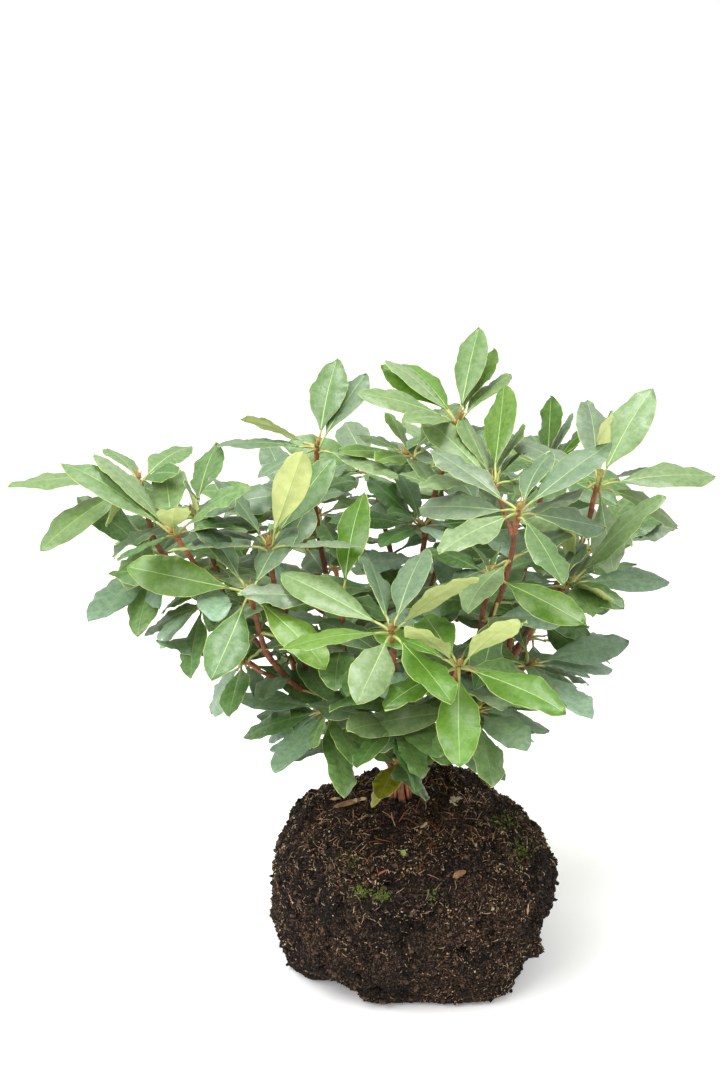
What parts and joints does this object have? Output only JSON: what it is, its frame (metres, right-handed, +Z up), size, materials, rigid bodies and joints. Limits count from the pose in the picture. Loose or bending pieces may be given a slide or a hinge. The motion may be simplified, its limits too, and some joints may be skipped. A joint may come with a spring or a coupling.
{
  "type": "rhododendron shrub with bare root ball",
  "caption": "Young broad-leaved evergreen shrub standing on its own peaty root ball, with short forked stem, rising boughs and separate whorled masses of foliage.",
  "frame": {"origin": "middle of the flat underside of the root ball, on the floor", "axes": "+Z straight up, +X to the right as seen from the front, -Y towards the viewer"},
  "size_m": [0.8056, 0.7627, 0.7768],
  "materials": {
    "peat": "rough, moist peat and fine roots",
    "bark": "matt, reddish brown bark",
    "leaf_fresh": "satin, fresh green leaves",
    "leaf_greyed": "satin, greyed green leaves",
    "leaf_old": "satin, dark older leaves",
    "leaf_olive": "satin, yellowing leaves"
  },
  "bodies": {
    "root": {"root_ball": "peat", "stem_base": "bark", "bough_centre_front": "bark", "bough_centre_left": "bark", "bough_centre_right": "bark", "bough_left": "bark", "bough_left_end": "bark", "bough_left_inner": "bark", "bough_left_middle": "bark", "bough_left_rear": "bark", "bough_low_front": "bark", "bough_low_left": "bark", "bough_rear": "bark", "bough_rear_left_end": "bark", "bough_rear_low": "bark", "bough_rear_middle": "bark", "bough_rear_right": "bark", "bough_rear_top": "bark", "bough_rear_upper": "bark", "bough_right": "bark", "bough_right_front": "bark", "bough_top": "bark", "bough_upper_left": "bark", "foliage_centre_front": "leaf_fresh", "foliage_centre_left": "leaf_fresh", "foliage_centre_right": "leaf_greyed", "foliage_foot": "leaf_olive", "foliage_inner_left": "leaf_old", "foliage_inner_low": "leaf_old", "foliage_inner_middle": "leaf_old", "foliage_left_end": "leaf_greyed", "foliage_left_front": "leaf_fresh", "foliage_left_hanging": "leaf_old", "foliage_left_inner": "leaf_old", "foliage_left_low": "leaf_old", "foliage_left_middle": "leaf_greyed", "foliage_left_rear": "leaf_greyed", "foliage_left_under": "leaf_old", "foliage_low_centre": "leaf_old", "foliage_low_front": "leaf_fresh", "foliage_low_left": "leaf_old", "foliage_low_middle": "leaf_old", "foliage_rear_left": "leaf_greyed", "foliage_rear_left_end": "leaf_greyed", "foliage_rear_low_left": "leaf_old", "foliage_rear_low_middle": "leaf_old", "foliage_rear_low_right": "leaf_old", "foliage_rear_middle": "leaf_greyed", "foliage_rear_right": "leaf_greyed", "foliage_rear_right_end": "leaf_greyed", "foliage_rear_top": "leaf_greyed", "foliage_rear_upper": "leaf_greyed", "foliage_right_end": "leaf_greyed", "foliage_right_front": "leaf_greyed", "foliage_right_low": "leaf_old", "foliage_right_under": "leaf_old", "foliage_top": "leaf_greyed", "foliage_upper_left": "leaf_greyed", "foliage_upper_middle": "leaf_greyed", "foliage_upper_right": "leaf_fresh"}
  },
  "joints": []
}
